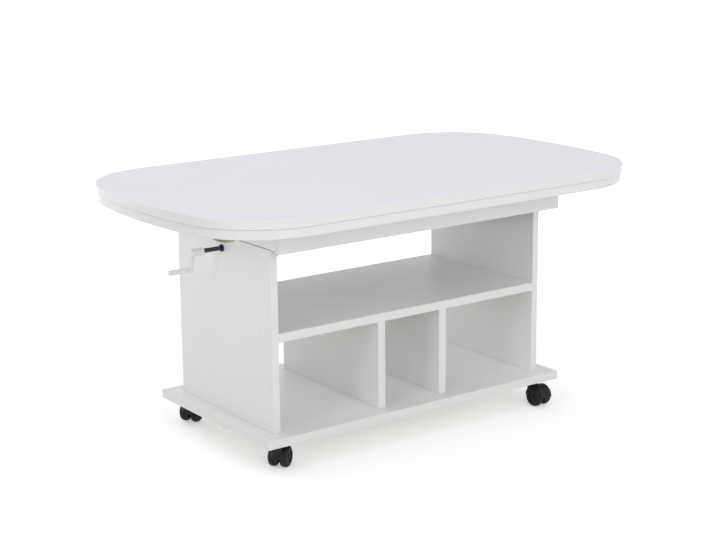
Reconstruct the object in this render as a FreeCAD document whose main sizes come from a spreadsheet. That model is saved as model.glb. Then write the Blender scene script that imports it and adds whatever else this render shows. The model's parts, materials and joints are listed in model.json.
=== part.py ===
import FreeCAD, Part
import Sketcher
import math
import os
import re

# Convertible coffee table: a shelf carcass on casters, a crank that raises the frame under the
# top on a flat scissor lift, and a double top that turns on the frame and folds out.
# Frame: floor at Z = 0, origin under the middle of the folded top, X along the table,
# +Y towards its back, millimetres.

SIZES = {
    # folded top
    "top_length": 1100,
    "top_depth": 650,
    "top_height": 538,
    "leaf_thickness": 19,
    "leaf_inset": 3,
    "hinge_inset": 6,
    "end_radius": 1150,
    "corner_radius": 180,
    "leaf_round": 2,
    # carcass
    "carcass_shift": 12,
    "base_margin": 33,
    "board_thickness": 18,
    "panel_span": 694,
    "panel_thickness": 16,
    "panel_headroom": 26,
    "carcass_extra": 27,
    "shelf_height": 202,
    "divider_spacing": 160,
    "board_round": 0.8,
    "notch_width": 140,
    "notch_depth": 16,
    "notch_shift": 15,
    "notch_wall": 4,
    "cap_diameter": 12,
    "cap_thickness": 1.2,
    "cap_spacing": 248,
    # frame under the top
    "frame_length": 720,
    "frame_gap": 18,
    "rail_thickness": 16,
    "rail_height": 57,
    "rest_gap": 2,
    # scissor lift
    "arm_length": 400,
    "arm_rise": 65,
    "arm_width": 20,
    "arm_thickness": 4,
    "arm_offset": 44,
    "arm_gap": 2,
    "channel_gap": 3,
    "channel_wall": 2.5,
    "pivot_diameter": 8,
    "shoulder_diameter": 14,
    "roller_diameter": 20,
    "roller_width": 14,
    "roller_margin": 3.25,
    "roller_play": 0.5,
    # screw and crank
    "screw_diameter": 12,
    "nut_width": 24,
    "bearing_thickness": 8,
    "bearing_offset": 20,
    "sleeve_diameter": 18,
    "sleeve_length": 40,
    "collar_diameter": 22,
    "collar_width": 8,
    "rod_diameter": 9,
    "rod_reach": 45,
    "bush_flange": 15,
    "bush_lip": 3,
    "bush_wall": 2,
    "hub_length": 28,
    "hub_diameter": 15,
    "hub_wall": 3,
    "crank_width": 8,
    "crank_radius": 38,
    "crank_boss": 12,
    "crank_swing": 14,
    "pin_diameter": 6,
    "grip_diameter": 11,
    "grip_length": 45,
    # turning pivot and leaf hinges
    "pivot_board_length": 125,
    "swivel_diameter": 50,
    "swivel_plate": 3,
    "swivel_room": 5,
    "swivel_pin": 14,
    "swivel_nut": 28,
    "hinge_length": 60,
    "hinge_spread": 560,
    "hinge_reach": 26,
    "hinge_plate": 1.5,
    "knuckle_diameter": 5.6,
    "hinge_pin": 3,
    # casters
    "caster_headroom": 14,
    "caster_inset": 40,
    "caster_margin": 35,
    "caster_trail": 18,
    "caster_plate": 3,
    "caster_plate_size": 42,
    "wheel_diameter": 43,
    "wheel_width": 17,
    "wheel_round": 7,
    "dish_diameter": 24,
    "dish_hub": 9,
    "dish_depth": 2,
    "web_thickness": 7,
    "hood_wall": 2,
    "hood_cover": 13,
    "hood_round": 1.5,
    "boss_diameter": 24,
    "stem_diameter": 8,
    "stem_length": 15,
    # clearances
    "running_gap": 0.1,
    "slide_gap": 0.3,
    "hood_gap": 1,
}

doc = FreeCAD.newDocument("convertible_table")
sheet = doc.addObject("Spreadsheet::Sheet", "dims")
for row, (alias, value) in enumerate(SIZES.items(), start=1):
    sheet.set(f"A{row}", alias)
    sheet.set(f"B{row}", str(value))
    sheet.setAlias(f"B{row}", alias)
doc.recompute()

# Levels and positions used by more than one piece.
BASE_BOTTOM = "(wheel_diameter + caster_headroom)"
BASE_TOP = f"({BASE_BOTTOM} + board_thickness)"
BASE_LENGTH = "(panel_span + 2 * base_margin)"
CARCASS_DEPTH = "(top_depth / 2 + carcass_extra)"
BASE_DEPTH = f"({CARCASS_DEPTH} + 2 * base_margin)"
CHANNEL_HEIGHT = "(roller_diameter + 2 * roller_play + 2 * channel_wall)"
CHANNEL_DEPTH = "(roller_width + 2 * roller_margin + channel_wall)"
LEAF_BOTTOM = "(top_height - 2 * leaf_thickness - slide_gap)"
PIVOT_Z = f"({LEAF_BOTTOM} - rest_gap - {CHANNEL_HEIGHT} / 2)"
SCREW_Z = f"({PIVOT_Z} - arm_rise)"
SCREW_HEIGHT = f"({SCREW_Z} - {BASE_TOP})"
PANEL_HEIGHT = f"({SCREW_HEIGHT} + panel_headroom)"
RAIL_BOTTOM = f"({LEAF_BOTTOM} - rail_height)"
SEAM = f"({LEAF_BOTTOM} + leaf_thickness + slide_gap / 2)"
PANEL_INNER = "(panel_span / 2 - panel_thickness)"
ARM_RUN = "sqrt(arm_length * arm_length - arm_rise * arm_rise)"
PIVOT_X = f"(-carcass_shift - {ARM_RUN} / 2)"
NUT_X = f"(-carcass_shift + {ARM_RUN} / 2)"
OUTER_ARM = "(arm_offset + arm_thickness + arm_gap)"
CHANNEL_FRONT = f"({OUTER_ARM} + arm_thickness + channel_gap)"
CHANNEL_BACK = f"({CHANNEL_FRONT} + {CHANNEL_DEPTH})"
ROLLER_START = f"({CHANNEL_FRONT} + roller_margin)"
RAIL_INSIDE = f"({CARCASS_DEPTH} / 2 + frame_gap)"
BORE = "(pivot_diameter + 2 * running_gap)"
SWIVEL = "(top_depth / 4)"
HINGE_Y = "(top_depth / 2 - hinge_inset / 2 + slide_gap / 2)"
LEFT_BEARING = f"({PIVOT_X} - arm_width - bearing_offset - bearing_thickness)"
RIGHT_BEARING = f"({NUT_X} + bearing_offset)"
COLLAR_X = f"({RIGHT_BEARING} + bearing_thickness + slide_gap)"
SLEEVE_X = f"({LEFT_BEARING} - slide_gap - sleeve_length)"
SCREW_X = f"({SLEEVE_X} + sleeve_length / 2)"
HUB_X = "(-carcass_shift - panel_span / 2 - rod_reach - hub_length)"

SPIN = {
    "X": FreeCAD.Rotation(FreeCAD.Vector(0, 1, 0), 90),
    "Y": FreeCAD.Rotation(FreeCAD.Vector(1, 0, 0), -90),
    "Z": FreeCAD.Rotation(),
}
SIDES = (("front", -1), ("rear", 1))
ENDS = (("left", -1), ("right", 1))

nodes = []


def linked(formula):
    """Point every size named in a formula at its cell."""
    return re.sub(r"[a-z][a-z_]+", lambda word: "dims." * (word[0] in SIZES) + word[0], formula)


def size_of(alias):
    return float(SIZES[alias])


def place(thing, x="0", y="0", z="0"):
    for axis, formula in zip("xyz", (x, y, z)):
        thing.setExpression(f"Placement.Base.{axis}", linked(formula))


def new_body(label, x="0", y="0", z="0"):
    body = doc.addObject("PartDesign::Body", label)
    body.Label = label
    place(body, x, y, z)
    nodes.append(body)
    return body


def box(body, size, corner, kind="Additive"):
    feature = body.newObject(f"PartDesign::{kind}Box", f"{body.Label}_box")
    for name, formula in zip(("Length", "Width", "Height"), size):
        feature.setExpression(name, linked(formula))
    place(feature, *corner)


def cylinder(body, axis, diameter, length, start, kind="Additive"):
    feature = body.newObject(f"PartDesign::{kind}Cylinder", f"{body.Label}_round")
    feature.setExpression("Radius", linked(f"({diameter}) / 2"))
    feature.setExpression("Height", linked(length))
    feature.Placement = FreeCAD.Placement(FreeCAD.Vector(), SPIN[axis])
    place(feature, *start)


def round_edges(body, radius, chosen=lambda edge: True):
    doc.recompute()
    base = body.Tip
    names = [f"Edge{i}" for i, edge in enumerate(base.Shape.Edges, start=1) if chosen(edge)]
    fillet = body.newObject("PartDesign::Fillet", f"{body.Label}_fillet")
    fillet.Base = (base, names)
    fillet.setExpression("Radius", linked(radius))


def board(label, size, corner):
    """A board with softened edges whose placement is its lowest corner."""
    body = new_body(label, *corner)
    box(body, size, ("0", "0", "0"))
    round_edges(body, "board_round")
    return body


def level(edge):
    """True for an edge that lies in one horizontal plane."""
    return abs(edge.Vertexes[0].Z - edge.Vertexes[-1].Z) < 1e-6


def carcass():
    depth_start = f"-{CARCASS_DEPTH} / 2"
    board("base_board", (BASE_LENGTH, BASE_DEPTH, "board_thickness"),
          (f"-carcass_shift - {BASE_LENGTH} / 2", f"-{BASE_DEPTH} / 2", BASE_BOTTOM))
    for end, sign in ENDS:
        x = "-carcass_shift - panel_span / 2" if sign < 0 else f"-carcass_shift + {PANEL_INNER}"
        panel = board(f"{end}_side_panel", ("panel_thickness", CARCASS_DEPTH, PANEL_HEIGHT),
                      (x, depth_start, BASE_TOP))
        if sign < 0:
            # shallow round recess of raw board over the crank, and the hole for the crank's bush
            notch = "((notch_width * notch_width / 4 + notch_depth * notch_depth) / notch_depth)"
            notch_y = f"{CARCASS_DEPTH} / 2 + notch_shift"
            notch_z = f"{PANEL_HEIGHT} - notch_depth + {notch} / 2"
            notch_reach = "panel_thickness - notch_wall"
            cylinder(panel, "X", notch, notch_reach, ("0", notch_y, notch_z), "Subtractive")
            cylinder(panel, "X", "rod_diameter + 2 * bush_wall + 2 * running_gap", "panel_thickness",
                     ("0", f"{CARCASS_DEPTH} / 2", SCREW_HEIGHT), "Subtractive")
        for side, way in SIDES:
            face = "-panel_span / 2 - cap_thickness" if sign < 0 else "panel_span / 2"
            cap = new_body(f"{end}_{side}_cap", f"-carcass_shift + {face}", f"{way} * cap_spacing / 2",
                           f"{BASE_TOP} + shelf_height - board_thickness / 2")
            cylinder(cap, "X", "cap_diameter", "cap_thickness", ("0", "0", "0"))
    board("shelf_board", (f"2 * {PANEL_INNER}", CARCASS_DEPTH, "board_thickness"),
          (f"-carcass_shift - {PANEL_INNER}", depth_start, f"{BASE_TOP} + shelf_height - board_thickness"))
    for end, sign in ENDS:
        board(f"{end}_divider", ("board_thickness", CARCASS_DEPTH, "shelf_height - board_thickness"),
              (f"-carcass_shift + {sign} * divider_spacing / 2 - board_thickness / 2", depth_start, BASE_TOP))


def channel(label, way, length, x, z, stud_end, stud_x):
    """A channel open towards the middle of the table, with one pivot stud in its web.

    Its placement is the middle of its length, on the table's middle plane.
    """
    body = new_body(label, x, "0", z)
    start = CHANNEL_FRONT if way > 0 else f"-{CHANNEL_BACK}"
    box(body, (length, CHANNEL_DEPTH, CHANNEL_HEIGHT), (f"-({length}) / 2", start, f"-{CHANNEL_HEIGHT} / 2"))
    hollow = CHANNEL_FRONT if way > 0 else f"-{CHANNEL_BACK} + channel_wall"
    box(body, (length, f"{CHANNEL_DEPTH} - channel_wall", f"{CHANNEL_HEIGHT} - 2 * channel_wall"),
        (f"-({length}) / 2", hollow, f"-{CHANNEL_HEIGHT} / 2 + channel_wall"), "Subtractive")
    shoulder = f"({stud_end} + arm_thickness + slide_gap)"
    tip = f"({stud_end} - slide_gap)"
    for diameter, near in (("shoulder_diameter", shoulder), ("pivot_diameter", tip)):
        reach = f"{CHANNEL_BACK} - channel_wall - {near}"
        y = near if way > 0 else f"-{near} - ({reach})"
        cylinder(body, "Y", diameter, reach, (stud_x, y, "0"))


def arm(label, way, offset, x, z, down):
    """A flat scissor bar; its placement is its fixed pivot, its bar runs to the far pivot."""
    body = new_body(label, x, "0", z)
    tilt = "asin(arm_rise / arm_length)"
    body.Placement.Rotation = FreeCAD.Rotation(FreeCAD.Vector(0, 1 if down else -1, 0), 1)
    body.setExpression("Placement.Rotation.Angle", linked(tilt))
    y = offset if way > 0 else f"-{offset} - arm_thickness"
    box(body, ("arm_length", "arm_thickness", "arm_width"), ("0", y, "-arm_width / 2"))
    for along in ("0", "arm_length"):
        cylinder(body, "Y", "arm_width", "arm_thickness", (along, y, "0"))
    for along in ("0", "arm_length / 2", "arm_length"):
        cylinder(body, "Y", BORE, "arm_thickness", (along, y, "0"), "Subtractive")


def lift():
    for side, way in SIDES:
        channel(f"{side}_lower_channel", way, f"2 * {PANEL_INNER}", "-carcass_shift", SCREW_Z,
                OUTER_ARM, f"{PIVOT_X} + carcass_shift")
        channel(f"{side}_upper_channel", way, "frame_length - 2 * rail_thickness", "0", PIVOT_Z,
                "arm_offset", PIVOT_X)
        arm(f"{side}_outer_arm", way, OUTER_ARM, PIVOT_X, SCREW_Z, False)
        arm(f"{side}_inner_arm", way, "arm_offset", PIVOT_X, PIVOT_Z, True)
        # roller with its own axle in the far end of each outer arm
        rolling = ("0", ROLLER_START if way > 0 else f"-{ROLLER_START} - roller_width", "0")
        roller = new_body(f"{side}_upper_roller", NUT_X, "0", PIVOT_Z)
        cylinder(roller, "Y", "roller_diameter", "roller_width", rolling)
        axle_start = f"({OUTER_ARM} - slide_gap)"
        cylinder(roller, "Y", "pivot_diameter", f"{ROLLER_START} - {axle_start}",
                 ("0", axle_start if way > 0 else f"-{ROLLER_START}", "0"))
        # ring on each trunnion of the drive nut
        ring = new_body(f"{side}_lower_roller", NUT_X, "0", SCREW_Z)
        cylinder(ring, "Y", "roller_diameter", "roller_width", rolling)
        cylinder(ring, "Y", BORE, "roller_width", rolling, "Subtractive")
    shaft = new_body("middle_shaft", "-carcass_shift", "0", f"{SCREW_Z} + arm_rise / 2")
    reach = f"({OUTER_ARM} + arm_thickness + slide_gap)"
    cylinder(shaft, "Y", "pivot_diameter", f"2 * {reach}", ("0", f"-{reach}", "0"))


def screw_and_crank():
    bore = "screw_diameter + 2 * running_gap"
    nut = new_body("drive_nut", NUT_X, "0", SCREW_Z)
    trunnion = f"({ROLLER_START} + roller_width)"
    cylinder(nut, "Y", "pivot_diameter", f"2 * {trunnion}", ("0", f"-{trunnion}", "0"))
    half = "nut_width / 2"
    nut_reach = "(arm_offset - slide_gap)"
    box(nut, ("nut_width", f"2 * {nut_reach}", "nut_width"), (f"-{half}", f"-{nut_reach}", f"-{half}"))
    cylinder(nut, "X", bore, "nut_width", (f"-{half}", "0", "0"), "Subtractive")
    for name, x in (("left_bearing_plate", LEFT_BEARING), ("right_bearing_plate", RIGHT_BEARING)):
        plate = new_body(name, x, "0", SCREW_Z)
        box(plate, ("bearing_thickness", f"2 * {CHANNEL_FRONT}", CHANNEL_HEIGHT),
            ("0", f"-{CHANNEL_FRONT}", f"-{CHANNEL_HEIGHT} / 2"))
        cylinder(plate, "X", bore, "bearing_thickness", ("0", "0", "0"), "Subtractive")
    screw = new_body("lead_screw", SCREW_X, "0", SCREW_Z)
    cylinder(screw, "X", "screw_diameter", f"{COLLAR_X} + collar_width - {SCREW_X}", ("0", "0", "0"))
    collar = new_body("thrust_collar", COLLAR_X, "0", SCREW_Z)
    cylinder(collar, "X", "collar_diameter", "collar_width", ("0", "0", "0"))
    cylinder(collar, "X", bore, "collar_width", ("0", "0", "0"), "Subtractive")
    sleeve = new_body("coupling_sleeve", SLEEVE_X, "0", SCREW_Z)
    cylinder(sleeve, "X", "sleeve_diameter", "sleeve_length", ("0", "0", "0"))
    cylinder(sleeve, "X", bore, "sleeve_length / 2", ("sleeve_length / 2", "0", "0"), "Subtractive")
    rod_bore = "rod_diameter + 2 * running_gap"
    cylinder(sleeve, "X", rod_bore, "sleeve_length / 2", ("0", "0", "0"), "Subtractive")
    rod = new_body("crank_rod", f"{HUB_X} + hub_wall", "0", SCREW_Z)
    cylinder(rod, "X", "rod_diameter", f"{SCREW_X} - {HUB_X} - hub_wall", ("0", "0", "0"))
    bush = new_body("crank_bush", "-carcass_shift - panel_span / 2", "0", SCREW_Z)
    cylinder(bush, "X", "bush_flange", "bush_lip", ("-bush_lip", "0", "0"))
    cylinder(bush, "X", "rod_diameter + 2 * bush_wall", "panel_thickness + bush_lip", ("-bush_lip", "0", "0"))
    cylinder(bush, "X", rod_bore, "panel_thickness + bush_lip", ("-bush_lip", "0", "0"), "Subtractive")
    # hub on the rod's end, arm hanging from its outer half, boss for the grip's pin
    crank = new_body("crank_arm", HUB_X, "0", SCREW_Z)
    crank.Placement.Rotation = FreeCAD.Rotation(FreeCAD.Vector(1, 0, 0), 1)
    crank.setExpression("Placement.Rotation.Angle", linked("crank_swing"))
    cylinder(crank, "X", "hub_diameter", "hub_length", ("0", "0", "0"))
    box(crank, ("crank_width", "crank_width", "crank_radius"), ("0", "-crank_width / 2", "-crank_radius"))
    cylinder(crank, "X", "crank_boss", "crank_width", ("0", "0", "-crank_radius"))
    round_edges(crank, "board_round")
    cylinder(crank, "X", rod_bore, "hub_length - hub_wall", ("hub_wall", "0", "0"), "Subtractive")
    pin_bore = "pin_diameter + 2 * running_gap"
    cylinder(crank, "X", pin_bore, "crank_width", ("0", "0", "-crank_radius"), "Subtractive")
    pin_length = "(crank_width + slide_gap + grip_length)"
    grip_end = (f"{HUB_X} - slide_gap - grip_length", "crank_radius * sin(crank_swing)",
                f"{SCREW_Z} - crank_radius * cos(crank_swing)")
    pin = new_body("grip_pin", *grip_end)
    cylinder(pin, "X", "pin_diameter", pin_length, ("0", "0", "0"))
    grip = new_body("crank_grip", *grip_end)
    cylinder(grip, "X", "grip_diameter", "grip_length", ("0", "0", "0"))
    round_edges(grip, "board_round")
    cylinder(grip, "X", pin_bore, "grip_length", ("0", "0", "0"), "Subtractive")


def frame():
    long_rail = ("frame_length", "rail_thickness", "rail_height - slide_gap")
    for side, y in (("front", f"-{RAIL_INSIDE} - rail_thickness"), ("rear", RAIL_INSIDE)):
        board(f"{side}_rail", long_rail, ("-frame_length / 2", y, RAIL_BOTTOM))
    end_bottom = f"({BASE_TOP} + {PANEL_HEIGHT} + rest_gap)"
    end_height = f"{LEAF_BOTTOM} - slide_gap - {end_bottom}"
    for end, sign in ENDS:
        x = "-frame_length / 2" if sign < 0 else "frame_length / 2 - rail_thickness"
        board(f"{end}_rail", ("rail_thickness", f"2 * {RAIL_INSIDE}", end_height),
              (x, f"-{RAIL_INSIDE}", end_bottom))
    pivot_top = f"({LEAF_BOTTOM} - swivel_room)"
    pivot = board("pivot_board", ("pivot_board_length", f"{RAIL_INSIDE} - {CHANNEL_BACK}", "board_thickness"),
                  (f"{SWIVEL} - pivot_board_length / 2", CHANNEL_BACK, f"{pivot_top} - board_thickness"))
    bore = "swivel_pin + 2 * running_gap"
    cylinder(pivot, "Z", bore, "board_thickness",
             ("pivot_board_length / 2", f"{SWIVEL} - {CHANNEL_BACK}", "0"), "Subtractive")
    washer = new_body("swivel_washer", SWIVEL, SWIVEL, pivot_top)
    thickness = "swivel_room - swivel_plate - slide_gap"
    cylinder(washer, "Z", "swivel_diameter", thickness, ("0", "0", "0"))
    cylinder(washer, "Z", bore, thickness, ("0", "0", "0"), "Subtractive")


def leaf(label, z, inset, back_inset, hinge_side):
    """A leaf of the top: straight long edges, bowed ends and round corners, hinge recesses at the back."""
    middle = f"(({inset} - {back_inset}) / 2)"
    body = new_body(label, "0", middle, z)
    sketch = body.newObject("Sketcher::SketchObject", f"{label}_outline")
    ground = [plane for plane in body.Origin.OriginFeatures if plane.Role == "XY_Plane"][0]
    sketch.AttachmentSupport = [(ground, "")]
    sketch.MapMode = "FlatFace"
    radius = size_of("end_radius")
    half = size_of("top_depth") / 2
    shift = radius - size_of("top_length") / 2
    corner = math.sqrt(radius ** 2 - half ** 2) - shift
    swing = math.asin(half / radius)
    up = FreeCAD.Vector(0, 0, 1)
    point = FreeCAD.Vector
    sketch.addGeometry(Part.LineSegment(point(-corner, -half, 0), point(corner, -half, 0)))
    sketch.addGeometry(Part.ArcOfCircle(Part.Circle(point(-shift, 0, 0), up, radius), -swing, swing))
    sketch.addGeometry(Part.LineSegment(point(corner, half, 0), point(-corner, half, 0)))
    sketch.addGeometry(Part.ArcOfCircle(Part.Circle(point(shift, 0, 0), up, radius),
                                        math.pi - swing, math.pi + swing))
    for side in range(4):
        sketch.addConstraint(Sketcher.Constraint("Coincident", side, 2, (side + 1) % 4, 1))
    sketch.addConstraint(Sketcher.Constraint("Symmetric", 0, 1, 0, 2, -2))
    sketch.addConstraint(Sketcher.Constraint("Symmetric", 2, 1, 2, 2, -2))
    sketch.addConstraint(Sketcher.Constraint("Symmetric", 0, 2, 2, 1, -1))
    sketch.addConstraint(Sketcher.Constraint("Equal", 1, 3))
    measures = (
        (Sketcher.Constraint("DistanceY", 0, 1, 2, 2, 2 * half), f"top_depth - {inset} - {back_inset}"),
        (Sketcher.Constraint("Radius", 1, radius), f"end_radius - {inset}"),
        (Sketcher.Constraint("DistanceX", 1, 3, -1, 1, shift), "end_radius - top_length / 2"),
    )
    for constraint, formula in measures:
        number = sketch.addConstraint(constraint)
        sketch.setExpression(f"Constraints[{number}]", linked(formula))
    pad = body.newObject("PartDesign::Pad", f"{label}_pad")
    pad.Profile = sketch
    pad.setExpression("Length", linked("leaf_thickness"))
    round_edges(body, f"corner_radius - {inset}", lambda edge: not level(edge))
    round_edges(body, "leaf_round", level)
    # recesses for the hinge plates, and in the upper leaf for the knuckles, in the faces that meet
    wide = "(hinge_length + 2 * slide_gap)"
    plate_depth = "(hinge_plate + slide_gap)"
    recesses = [(f"({HINGE_Y} - {middle} - hinge_reach - slide_gap)", plate_depth)]
    if hinge_side == "under":
        knuckle_depth = "(knuckle_diameter / 2 + slide_gap)"
        recesses.append((f"({HINGE_Y} - {middle} - {knuckle_depth})", knuckle_depth))
    for end, sign in ENDS:
        x = f"{sign} * hinge_spread / 2 - {wide} / 2"
        for start, deep in recesses:
            z_start = "0" if hinge_side == "under" else f"leaf_thickness - {deep}"
            box(body, (wide, f"top_depth - {start}", deep), (x, start, z_start), "Subtractive")


def hinge(end, sign):
    """Base on the lower leaf with the pin, flap on the upper leaf with two knuckles."""
    spread = f"{sign} * hinge_spread / 2"
    length = "hinge_length"
    middle = "(hinge_length / 2)"
    outer = "(hinge_length / 4 - slide_gap)"
    plate_reach = "(hinge_reach - knuckle_diameter / 2 - slide_gap)"
    base = new_body(f"{end}_hinge_base", spread, HINGE_Y, SEAM)
    low = "-slide_gap / 2 - hinge_plate"
    cylinder(base, "X", "knuckle_diameter", middle, (f"-{middle} / 2", "0", "0"))
    box(base, (middle, "hinge_reach", "hinge_plate"), (f"-{middle} / 2", "-hinge_reach", low))
    box(base, (length, plate_reach, "hinge_plate"), ("-hinge_length / 2", "-hinge_reach", low))
    cylinder(base, "X", "hinge_pin", length, ("-hinge_length / 2", "0", "0"))
    flap = new_body(f"{end}_hinge_flap", spread, HINGE_Y, SEAM)
    high = "slide_gap / 2"
    for start in ("-hinge_length / 2", f"hinge_length / 2 - {outer}"):
        cylinder(flap, "X", "knuckle_diameter", outer, (start, "0", "0"))
        box(flap, (outer, "hinge_reach", "hinge_plate"), (start, "-hinge_reach", high))
    box(flap, (length, plate_reach, "hinge_plate"), ("-hinge_length / 2", "-hinge_reach", high))
    cylinder(flap, "X", "hinge_pin + 2 * running_gap", length, ("-hinge_length / 2", "0", "0"), "Subtractive")


def top():
    leaf("lower_leaf", LEAF_BOTTOM, "leaf_inset", "hinge_inset", "above")
    leaf("upper_leaf", f"{SEAM} + slide_gap / 2", "0", "0", "under")
    for end, sign in ENDS:
        hinge(end, sign)
    # disc under the lower leaf with the pin that turns in the pivot board
    pin = new_body("swivel_pin", SWIVEL, SWIVEL, LEAF_BOTTOM)
    reach = "(swivel_room + board_thickness + slide_gap + collar_width)"
    cylinder(pin, "Z", "swivel_diameter", "swivel_plate", ("0", "0", "-swivel_plate"))
    cylinder(pin, "Z", "swivel_pin", reach, ("0", "0", f"-{reach}"))
    nut = new_body("swivel_nut", SWIVEL, SWIVEL, f"{LEAF_BOTTOM} - {reach}")
    cylinder(nut, "Z", "swivel_nut", "collar_width", ("0", "0", "0"))
    cylinder(nut, "Z", "swivel_pin + 2 * running_gap", "collar_width", ("0", "0", "0"), "Subtractive")


def caster(corner, end_sign, side_sign, heading):
    """Plate and stem under the base board, hood that swivels on the stem, twin wheels in the hood."""
    x = f"-carcass_shift + {end_sign} * ({BASE_LENGTH} / 2 - caster_inset)"
    y = f"{side_sign} * ({BASE_DEPTH} / 2 - caster_margin)"
    turn = FreeCAD.Rotation(FreeCAD.Vector(0, 0, 1), heading)
    plate = new_body(f"{corner}_caster_plate", x, y, BASE_BOTTOM)
    box(plate, ("caster_plate_size", "caster_plate_size", "caster_plate"),
        ("-caster_plate_size / 2", "-caster_plate_size / 2", "-caster_plate"))
    cylinder(plate, "Z", "stem_diameter", "stem_length", ("0", "0", "-stem_length"))
    # local X points from the stem to the wheels' axle
    hood = new_body(f"{corner}_caster_hood", x, y, "0")
    hood.Placement.Rotation = turn
    axle_z = "wheel_diameter / 2"
    inner = "(wheel_diameter + 2 * hood_gap)"
    outer = f"({inner} + 2 * hood_wall)"
    width = "(web_thickness + 2 * hood_cover)"
    hood_x = f"caster_trail - {outer} / 2"
    boss_foot = f"({axle_z} + stem_diameter)"
    boss_top = f"({BASE_BOTTOM} - caster_plate - slide_gap)"
    cylinder(hood, "Y", outer, width, ("caster_trail", f"-{width} / 2", axle_z))
    round_edges(hood, "hood_round", lambda edge: hasattr(edge.Curve, "Radius"))
    cylinder(hood, "Z", "boss_diameter", f"{boss_top} - {boss_foot}", ("0", "0", boss_foot))
    # room for a wheel on each side of the web, open below the axle
    for start in (f"-{width} / 2", "web_thickness / 2"):
        cylinder(hood, "Y", inner, "hood_cover", ("caster_trail", start, axle_z), "Subtractive")
        box(hood, (outer, "hood_cover", outer), (hood_x, start, f"{axle_z} - {outer}"), "Subtractive")
    box(hood, (outer, width, outer),
        (hood_x, f"-{width} / 2", f"{axle_z} - pivot_diameter - {outer}"), "Subtractive")
    cylinder(hood, "Z", "stem_diameter + 2 * running_gap", "stem_length - caster_plate",
             ("0", "0", f"{BASE_BOTTOM} - stem_length - slide_gap"), "Subtractive")
    cylinder(hood, "Y", BORE, "web_thickness", ("caster_trail", "-web_thickness / 2", axle_z), "Subtractive")
    wheels = new_body(f"{corner}_caster_wheels", x, y, "0")
    wheels.Placement.Rotation = turn
    gap = "(web_thickness / 2 + slide_gap)"
    cylinder(wheels, "Y", "pivot_diameter", f"2 * {gap}", ("caster_trail", f"-{gap}", axle_z))
    for start in (gap, f"-{gap} - wheel_width"):
        cylinder(wheels, "Y", "wheel_diameter", "wheel_width", ("caster_trail", start, axle_z))
    axle_radius = size_of("pivot_diameter") / 2
    round_edges(wheels, "wheel_round", lambda edge: getattr(edge.Curve, "Radius", 0) > axle_radius)
    # dished outer faces, each with a small hub
    for start in (f"{gap} + wheel_width - dish_depth", f"-{gap} - wheel_width"):
        seat = ("caster_trail", start, axle_z)
        cylinder(wheels, "Y", "dish_diameter", "dish_depth", seat, "Subtractive")
        cylinder(wheels, "Y", "dish_hub", "dish_depth", seat)


# corner, its end and side, and the direction in which its wheels trail, in degrees from +X
CASTERS = (
    ("front_left", -1, -1, 35),
    ("rear_left", -1, 1, 30),
    ("front_right", 1, -1, -86),
    ("rear_right", 1, 1, 40),
)

carcass()
lift()
screw_and_crank()
frame()
top()
for entry in CASTERS:
    caster(*entry)
doc.recompute()

for thing in doc.Objects:
    if {"Invalid", "Error"} & set(thing.State):
        raise RuntimeError(f"{thing.Label} failed: {thing.State}")
for node in nodes:
    if node.Shape.isNull() or not node.Shape.isValid() or len(node.Shape.Solids) != 1:
        raise RuntimeError(f"{node.Label} is not one valid solid")

os.makedirs("parts", exist_ok=True)
for node in nodes:
    node.Shape.exportStep(f"parts/{node.Label}.step")
print(len(nodes), "parts written")
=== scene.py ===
import json
import math

import bpy
from mathutils import Matrix, Vector


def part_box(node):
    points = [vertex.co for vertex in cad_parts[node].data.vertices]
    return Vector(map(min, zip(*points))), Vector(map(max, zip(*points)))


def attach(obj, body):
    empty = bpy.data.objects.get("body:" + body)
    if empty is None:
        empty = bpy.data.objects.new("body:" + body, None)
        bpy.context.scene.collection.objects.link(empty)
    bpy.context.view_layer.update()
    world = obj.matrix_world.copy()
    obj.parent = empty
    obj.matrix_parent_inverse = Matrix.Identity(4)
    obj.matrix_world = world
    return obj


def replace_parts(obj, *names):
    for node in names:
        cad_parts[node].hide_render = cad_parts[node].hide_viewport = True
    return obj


# Looks of a white convertible coffee table: melamine boards, a satin double top, black casters,
# a coated steel lift under the top, small screws, a pale floor, soft light and the photograph's
# view. Lengths are in metres.

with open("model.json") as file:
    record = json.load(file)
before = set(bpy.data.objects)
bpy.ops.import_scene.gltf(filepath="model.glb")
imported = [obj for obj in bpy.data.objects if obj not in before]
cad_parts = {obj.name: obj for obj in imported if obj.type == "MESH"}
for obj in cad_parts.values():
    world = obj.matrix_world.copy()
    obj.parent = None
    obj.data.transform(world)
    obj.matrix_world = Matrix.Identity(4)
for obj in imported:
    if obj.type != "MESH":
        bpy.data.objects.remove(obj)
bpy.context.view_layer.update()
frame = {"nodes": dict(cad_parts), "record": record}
nodes = frame["nodes"]
scene = bpy.context.scene
MM = 0.001
UP = Vector((0.0, 0.0, 1.0))

# materials

# where along a noise the darker tone ends and the lighter tone begins
TONE_STOPS = (0.3, 0.7)


def new_material(name):
    """A new material, its node tree and its shader."""
    material = bpy.data.materials.new(name)
    material.use_nodes = True
    tree = material.node_tree
    return material, tree, tree.nodes["Principled BSDF"]


def rest_place(tree, stretch=(1.0, 1.0, 1.0)):
    """Rest-pose coordinates of a piece in metres, stretched along each axis."""
    where = tree.nodes.new("ShaderNodeTexCoord")
    mapping = tree.nodes.new("ShaderNodeMapping")
    mapping.inputs["Scale"].default_value = stretch
    tree.links.new(where.outputs["Object"], mapping.inputs["Vector"])
    return mapping.outputs["Vector"]


def noise(tree, place, scale, detail=4.0):
    """Soft noise, finer with a larger scale."""
    texture = tree.nodes.new("ShaderNodeTexNoise")
    texture.inputs["Scale"].default_value = scale
    texture.inputs["Detail"].default_value = detail
    tree.links.new(place, texture.inputs["Vector"])
    return texture.outputs["Fac"]


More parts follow.
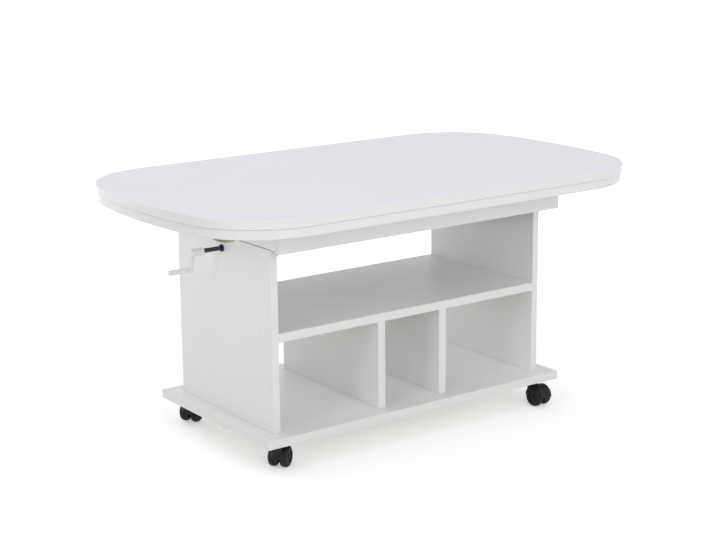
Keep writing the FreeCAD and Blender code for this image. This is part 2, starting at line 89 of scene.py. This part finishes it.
def ramp(tree, factor, stops):
    """Colours at given positions along a factor."""
    node = tree.nodes.new("ShaderNodeValToRGB")
    elements = node.color_ramp.elements
    while len(elements) < len(stops):
        elements.new(position=0.5)
    for element, (position, colour) in zip(elements, stops):
        element.position = position
        element.color = (*colour, 1.0)
    tree.links.new(factor, node.inputs["Fac"])
    return node.outputs["Color"]


def spread(tree, factor, low, high, start=0.0, end=1.0):
    """A factor between start and end mapped to values between low and high."""
    node = tree.nodes.new("ShaderNodeMapRange")
    node.inputs["From Min"].default_value = start
    node.inputs["From Max"].default_value = end
    node.inputs["To Min"].default_value = low
    node.inputs["To Max"].default_value = high
    tree.links.new(factor, node.inputs["Value"])
    return node.outputs["Result"]


def shade(colour, amount):
    """A colour made darker or lighter by an amount."""
    return tuple(min(1.0, channel * amount) for channel in colour)


def two_tones(tree, shader, factor, dark, light):
    """A shader's colour, from a dark tone to a light one along a factor."""
    stops = tuple(zip(TONE_STOPS, (dark, light)))
    tree.links.new(ramp(tree, factor, stops), shader.inputs["Base Color"])


def uneven_gloss(tree, shader, factor, roughness, below, above):
    """A shader's roughness, from a little below its usual value to a little above it."""
    uneven = spread(tree, factor, roughness - below, roughness + above)
    tree.links.new(uneven, shader.inputs["Roughness"])


def bump(tree, shader, height, strength, distance):
    """A shader's relief from a height."""
    node = tree.nodes.new("ShaderNodeBump")
    node.inputs["Strength"].default_value = strength
    node.inputs["Distance"].default_value = distance
    tree.links.new(height, node.inputs["Height"])
    tree.links.new(node.outputs["Normal"], shader.inputs["Normal"])


def melamine(name, colour, roughness, grain, relief):
    """White board facing: faint clouding, a fine pressed grain and slightly uneven gloss."""
    material, tree, shader = new_material(name)
    place = rest_place(tree)
    clouded = shade(colour, amount=0.975)
    two_tones(tree, shader, noise(tree, place, scale=5.0), clouded, colour)
    uneven_gloss(tree, shader, noise(tree, place, scale=40.0), roughness, below=0.05, above=0.06)
    bump(tree, shader, noise(tree, place, grain, detail=2.0), relief, distance=0.2 * MM)
    return material


def moulded(name, colour, roughness, relief, mottle, gloss=0.5):
    """Moulded plastic with a fine eroded texture and patches of slightly different tone."""
    material, tree, shader = new_material(name)
    shader.inputs["Specular IOR Level"].default_value = gloss
    place = rest_place(tree)
    patch = noise(tree, place, scale=60.0)
    two_tones(tree, shader, patch, shade(colour, 1.0 - mottle), shade(colour, 1.0 + mottle))
    uneven_gloss(tree, shader, patch, roughness, below=0.06, above=0.08)
    bump(tree, shader, noise(tree, place, scale=1400.0, detail=2.0), relief, distance=0.3 * MM)
    return material


def metal(name, colour, roughness, metallic, stretch=(1.0, 1.0, 1.0)):
    """Plated or coated metal; streaks run along an axis with a small stretch."""
    material, tree, shader = new_material(name)
    shader.inputs["Metallic"].default_value = metallic
    place = rest_place(tree, stretch)
    streak = noise(tree, place, scale=60.0, detail=6.0)
    two_tones(tree, shader, streak, shade(colour, amount=0.86), shade(colour, amount=1.06))
    uneven_gloss(tree, shader, streak, roughness, below=0.08, above=0.1)
    fine = noise(tree, place, scale=500.0, detail=2.0)
    bump(tree, shader, fine, strength=0.08, distance=0.3 * MM)
    return material


def chipboard(name):
    """Raw chipboard: pressed flakes in several browns."""
    browns = ((0.0, (0.56, 0.43, 0.28)), (0.5, (0.72, 0.59, 0.42)), (1.0, (0.82, 0.72, 0.56)))
    flattened = (1.0, 1.0, 2.2)
    material, tree, shader = new_material(name)
    flakes = tree.nodes.new("ShaderNodeTexVoronoi")
    flakes.inputs["Scale"].default_value = 420.0
    tree.links.new(rest_place(tree, flattened), flakes.inputs["Vector"])
    tone = tree.nodes.new("ShaderNodeSeparateColor")
    tree.links.new(flakes.outputs["Color"], tone.inputs["Color"])
    tree.links.new(ramp(tree, tone.outputs["Red"], browns), shader.inputs["Base Color"])
    shader.inputs["Roughness"].default_value = 0.85
    bump(tree, shader, tone.outputs["Red"], strength=0.4, distance=0.6 * MM)
    return material


BOARD_WHITE = (0.851, 0.858, 0.823)
TOP_WHITE = (0.848, 0.86, 0.857)
EDGE_WHITE = (0.843, 0.848, 0.806)
CAP_WHITE = (0.876, 0.883, 0.85)
CRANK_WHITE = (0.85, 0.853, 0.83)
NYLON_WHITE = (0.7, 0.69, 0.65)
HOOD_BLACK = (0.012, 0.012, 0.013)
WHEEL_BLACK = shade(HOOD_BLACK, amount=1.3)
STEEL_BLACK = (0.05, 0.05, 0.054)
ROD_BLACK = (0.04, 0.04, 0.042)
ZINC = (0.62, 0.63, 0.64)
ALONG_X = (0.05, 1.0, 1.0)

FINISHES = {
    "white_board": melamine("white board", BOARD_WHITE, roughness=0.38, grain=900.0, relief=0.05),
    "white_top": melamine("white top", TOP_WHITE, roughness=0.38, grain=700.0, relief=0.03),
    "raw_board": chipboard("raw chipboard"),
    "white_plastic": moulded(
        "white cap plastic", CAP_WHITE, roughness=0.4, relief=0.05, mottle=0.02),
    "light_plastic": moulded(
        "light crank plastic", CRANK_WHITE, roughness=0.42, relief=0.08, mottle=0.03),
    "white_nylon": moulded(
        "nylon", NYLON_WHITE, roughness=0.5, relief=0.12, mottle=0.06),
    "black_plastic": moulded(
        "black hood plastic", HOOD_BLACK, roughness=0.42, relief=0.12, mottle=0.13, gloss=0.22),
    "wheel_rubber": moulded(
        "black wheel plastic", WHEEL_BLACK, roughness=0.5, relief=0.12, mottle=0.13, gloss=0.2),
    "dark_rod": metal("black rod", ROD_BLACK, roughness=0.38, metallic=0.4, stretch=ALONG_X),
    "black_steel": metal("coated steel", STEEL_BLACK, roughness=0.5, metallic=0.3),
    "zinc_steel": metal("zinc steel", ZINC, roughness=0.32, metallic=1.0),
}
EDGE_BAND = melamine("edge band", EDGE_WHITE, roughness=0.42, grain=700.0, relief=0.03)

# finishes on the solids


def dress_solids():
    """Every sub-part in the finish that its record names."""
    for entry in frame["record"]["subparts"]:
        materials = nodes[entry["node"]].data.materials
        materials.clear()
        materials.append(FINISHES[entry["material_slot"]])


def bare_recess():
    """Raw board in the round recess at the left panel's top, over the crank."""
    skin = 1.2 * MM
    looking_along_y = 0.5
    panel = nodes["left_side_panel"].data
    low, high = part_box("left_side_panel")
    bush_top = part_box("crank_bush")[1].z
    panel.materials.append(FINISHES["raw_board"])
    raw = len(panel.materials) - 1
    for face in panel.polygons:
        inside = low.x + skin < face.center.x < high.x - skin
        over_crank = bush_top < face.center.z < high.z - skin
        # the panel's front and rear edges look along y and stay white
        if inside and over_crank and abs(face.normal.y) < looking_along_y:
            face.material_index = raw


def edge_bands():
    """The narrow sides of every white board in the warmer white of its edge band."""
    looking_along_thin = 0.7
    for entry in frame["record"]["subparts"]:
        if entry["material_slot"] not in ("white_board", "white_top"):
            continue
        low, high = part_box(entry["node"])
        size = list(high - low)
        thin = size.index(min(size))
        board = nodes[entry["node"]].data
        board.materials.append(EDGE_BAND)
        band = len(board.materials) - 1
        for face in board.polygons:
            # broad faces look along the thin axis, and raw board has a finish of its own
            if face.material_index == 0 and abs(face.normal[thin]) < looking_along_thin:
                face.material_index = band


# small pieces and relief that the solids leave out

# points round a turned head, and the radius of the heads of the casters' and hinges' screws
HEAD_SIDES = 24
SCREW_RADIUS = 3.4 * MM


def round_piece(name, rings, body, slot):
    """A closed piece from rings of equally many points, from one end to the other."""
    sides = len(rings[0])
    faces = []
    for ring in range(len(rings) - 1):
        for k in range(sides):
            here = ring * sides + k
            beside = ring * sides + (k + 1) % sides
            faces.append((here, beside, beside + sides, here + sides))
    last = (len(rings) - 1) * sides
    faces.append(tuple(reversed(range(sides))))
    faces.append(tuple(range(last, last + sides)))
    mesh = bpy.data.meshes.new(name)
    mesh.from_pydata([point for ring in rings for point in ring], [], faces)
    for face in mesh.polygons:
        face.use_smooth = len(face.vertices) == 4
    mesh.materials.append(FINISHES[slot])
    piece = bpy.data.objects.new(name, mesh)
    scene.collection.objects.link(piece)
    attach(piece, body)
    return piece


def circle(sides):
    """Angles of equally spaced points round a circle."""
    return [2 * math.pi * k / sides for k in range(sides)]


def within_one(value):
    """A value kept between 0 and 1."""
    return max(0.0, min(1.0, value))


def seat_on(foot, axis):
    """A place on a foot point whose height runs along an axis."""
    turn = UP.rotation_difference(Vector(axis))
    return Matrix.Translation(Vector(foot)) @ turn.to_matrix().to_4x4()


def turned(name, profile, foot, axis, body, slot):
    """A turned piece on a foot point; the profile is (distance along the axis, radius) pairs."""
    seat = seat_on(foot, axis)
    rings = []
    for along, radius in profile:
        ring = []
        for angle in circle(HEAD_SIDES):
            ring.append(seat @ Vector((radius * math.cos(angle), radius * math.sin(angle), along)))
        rings.append(ring)
    round_piece(name, rings, body, slot)


def dome(radius):
    """Profile of a low round head, whose shape is given in shares of its radius."""
    shape = ((0.0, 1.0), (0.2, 1.0), (0.38, 0.8), (0.46, 0.4))
    return [(along * radius, across * radius) for along, across in shape]


def painted_recess_shade(name, reach, heights, foot, axis, body):
    """A dark cross of painted shade for the driver's recess in a flat screw head, between two heights
    over the foot point.
    """
    half_width = 0.24 * reach
    corner = ((half_width, half_width), (half_width, reach), (-half_width, reach))
    outline = []
    for quarter in range(4):
        turn = Matrix.Rotation(quarter * math.pi / 2, 2)
        outline += [turn @ Vector(point) for point in corner]
    seat = seat_on(foot, axis)
    rings = [[seat @ Vector((x, y, height)) for x, y in outline] for height in heights]
    # painted shade: the recess is drawn as a thin sheet of dark coated steel, not cut into the head
    round_piece(name, rings, body, "black_steel")


def cut_thread():
    """The lead screw with a trapezoidal thread between its bearings, wound so that the nut follows."""
    pitch = 4 * MM
    depth = 0.9 * MM
    half_root = 0.15 * pitch
    half_mouth = 0.4 * pitch
    steps_per_turn = 8
    sides = 20
    low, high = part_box("lead_screw")
    middle = (low + high) / 2
    crest = (high.z - low.z) / 2
    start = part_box("left_bearing_plate")[1].x + pitch
    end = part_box("right_bearing_plate")[0].x - pitch
    count = int((end - start) / pitch * steps_per_turn)
    cut = [start + pitch * i / steps_per_turn for i in range(count + 1)]
    rings = []
    for x in [low.x] + cut + [high.x]:
        fade = within_one(min(x - start, end - x) / pitch)
        ring = []
        for angle in circle(sides):
            turns = (x - start) / pitch + angle / (2 * math.pi)
            from_root = abs(turns % 1.0 - 0.5) * pitch
            groove = within_one((half_mouth - from_root) / (half_mouth - half_root))
            radius = crest - depth * fade * groove
            across = radius * math.cos(angle)
            above = radius * math.sin(angle)
            ring.append((x, middle.y + across, middle.z + above))
        rings.append(ring)
    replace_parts(round_piece("threaded_screw", rings, "screw", "zinc_steel"), "lead_screw")


def shaft_heads():
    """A round head on each end of the shaft where the scissor arms cross."""
    head = dome(radius=6 * MM)
    low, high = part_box("middle_shaft")
    middle = (low + high) / 2
    for side, y, way in (("front", low.y, -1), ("rear", high.y, 1)):
        place = (middle.x, y, middle.z)
        turned(f"{side}_shaft_head", head, place, (0, way, 0), "outer_arms", "zinc_steel")


def caster_screws():
    """Four round-headed screws in each caster plate."""
    from_middle = 16.5 * MM
    plate_thickness = 3 * MM
    head = dome(SCREW_RADIUS)
    down = (0, 0, -1)
    for corner in ("front_left", "rear_left", "front_right", "rear_right"):
        low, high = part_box(f"{corner}_caster_plate")
        middle = (low + high) / 2
        underside = high.z - plate_thickness
        for k, (dx, dy) in enumerate(((-1, -1), (1, -1), (1, 1), (-1, 1))):
            place = (middle.x + dx * from_middle, middle.y + dy * from_middle, underside)
            turned(f"{corner}_plate_screw_{k}", head, place, down, "carcass", "zinc_steel")


def hinge_screws():
    """Three flat screws in each hinge plate, each with a dark cross of painted shade for its driver's
    recess, seen when the top is folded out.
    """
    spacing = 20 * MM
    inset = 8 * MM
    half_gap = 0.15 * MM
    proud = 0.08 * MM
    rim = 0.96 * SCREW_RADIUS
    flat = ((0.0, SCREW_RADIUS), (proud, rim))
    cross_reach = 0.6 * SCREW_RADIUS
    cross_thickness = 0.02 * MM
    cross_heights = (proud, proud + cross_thickness)
    for end in ("left", "right"):
        for kind, body, way in (("base", "lower_top", 1), ("flap", "upper_top", -1)):
            low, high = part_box(f"{end}_hinge_{kind}")
            middle = (low + high) / 2
            axis = (0, 0, way)
            for k, across in enumerate((-spacing, 0.0, spacing)):
                place = (middle.x + across, low.y + inset, middle.z - way * half_gap)
                screw = f"{end}_hinge_{kind}_screw_{k}"
                cross = f"{end}_hinge_{kind}_cross_{k}"
                turned(screw, flat, place, axis, body, "zinc_steel")
                # the dark cross is painted shade standing in for the driver's recess
                painted_recess_shade(cross, cross_reach, cross_heights, place, axis, body)


dress_solids()
bare_recess()
edge_bands()
cut_thread()
shaft_heads()
caster_screws()
hinge_screws()

# floor, light and view

FLOOR_DARK = (0.823, 0.824, 0.768)
FLOOR_LIGHT = (0.843, 0.844, 0.786)
LIGHT_WHITE = (0.932, 0.931, 1.0)
KEY_WHITE = (0.84, 0.875, 1.0)
LAMPS_AIM = Vector((0.0, 0.0, 0.3))


def seen_or_not(tree, plain, seen, output):
    """One shader for the light that a surface or sky gives, another for what a camera or gloss sees."""
    path = tree.nodes.new("ShaderNodeLightPath")
    either = tree.nodes.new("ShaderNodeMixShader")
    seeing = path.outputs["Is Camera Ray"]
    for ray in ("Is Glossy Ray", "Is Transmission Ray"):
        larger = tree.nodes.new("ShaderNodeMath")
        larger.operation = "MAXIMUM"
        tree.links.new(seeing, larger.inputs[0])
        tree.links.new(path.outputs[ray], larger.inputs[1])
        seeing = larger.outputs["Value"]
    tree.links.new(seeing, either.inputs["Fac"])
    tree.links.new(plain, either.inputs[1])
    tree.links.new(seen, either.inputs[2])
    tree.links.new(either.outputs["Shader"], output.inputs["Surface"])


def pale_floor():
    """Floor that the camera sees as white, with the table's soft shadow on it."""
    bpy.ops.mesh.primitive_plane_add(size=40.0)
    floor = bpy.context.object
    floor.name = "floor"
    material, tree, shader = new_material("pale floor")
    place = rest_place(tree)
    two_tones(tree, shader, noise(tree, place, scale=1.5), FLOOR_DARK, FLOOR_LIGHT)
    shader.inputs["Roughness"].default_value = 0.9
    distance = tree.nodes.new("ShaderNodeVectorMath")
    distance.operation = "LENGTH"
    tree.links.new(place, distance.inputs[0])
    # a glow that the camera sees, weaker near the table, where the shadow shows
    glow = tree.nodes.new("ShaderNodeEmission")
    strength = spread(tree, distance.outputs["Value"], low=0.42, high=1.0, start=0.7, end=2.6)
    tree.links.new(strength, glow.inputs["Strength"])
    lit = tree.nodes.new("ShaderNodeAddShader")
    tree.links.new(shader.outputs["BSDF"], lit.inputs[0])
    tree.links.new(glow.outputs["Emission"], lit.inputs[1])
    output = tree.nodes["Material Output"]
    seen_or_not(tree, shader.outputs["BSDF"], lit.outputs["Shader"], output)
    floor.data.materials.append(material)


def studio_sky(level):
    """Even light from all round; the camera sees plain white."""
    world = bpy.data.worlds.new("studio")
    scene.world = world
    world.use_nodes = True
    tree = world.node_tree
    sky = tree.nodes["Background"]
    sky.inputs["Color"].default_value = (*LIGHT_WHITE, 1.0)
    sky.inputs["Strength"].default_value = level
    white = tree.nodes.new("ShaderNodeBackground")
    white.inputs["Color"].default_value = (1.0, 1.0, 1.0, 1.0)
    output = tree.nodes["World Output"]
    seen_or_not(tree, sky.outputs["Background"], white.outputs["Background"], output)


def area_light(name, place, size, power, colour, in_gloss):
    """A square lamp; one that is out of the gloss lights surfaces without a reflection of itself."""
    light = bpy.data.lights.new(name, "AREA")
    light.size = size
    light.energy = power
    light.color = colour
    lamp = bpy.data.objects.new(name, light)
    scene.collection.objects.link(lamp)
    lamp.visible_glossy = in_gloss
    lamp.location = place
    lamp.rotation_euler = (LAMPS_AIM - Vector(place)).to_track_quat("-Z", "Y").to_euler()


def soft_light():
    """An even sky, a cool key lamp on the left, wide lamps in front and behind, and one overhead."""
    studio_sky(level=0.54)
    area_light("key", place=(-5.0, -1.35, 2.2), size=1.2, power=30.0,
               colour=KEY_WHITE, in_gloss=True)
    area_light("front", place=(-0.5, -4.8, 2.2), size=3.0, power=80.0,
               colour=LIGHT_WHITE, in_gloss=False)
    area_light("rear", place=(-0.8, 4.4, 1.0), size=2.6, power=120.0,
               colour=LIGHT_WHITE, in_gloss=False)
    area_light("overhead", place=(-0.5, -0.5, 4.5), size=2.5, power=26.0,
               colour=LIGHT_WHITE, in_gloss=True)


def photograph_view():
    """The photograph's view: turned right from straight ahead, looking down, with a touch of roll."""
    eye = Vector((-1.989, -2.695, 1.14))
    to_right = math.radians(36.12)
    down = math.radians(13.76)
    roll = math.radians(0.47)
    camera_data = bpy.data.cameras.new("camera")
    camera_data.sensor_width = 36.0
    camera_data.lens = 80.8
    camera = bpy.data.objects.new("camera", camera_data)
    scene.collection.objects.link(camera)
    level_way = Vector((math.sin(to_right), math.cos(to_right), 0.0))
    look = level_way * math.cos(down) - UP * math.sin(down)
    aim = look.to_track_quat("-Z", "Y").to_matrix().to_4x4()
    camera.matrix_world = Matrix.Translation(eye) @ aim @ Matrix.Rotation(-roll, 4, "Z")
    scene.camera = camera


scene.view_settings.view_transform = "Standard"
pale_floor()
soft_light()
photograph_view()
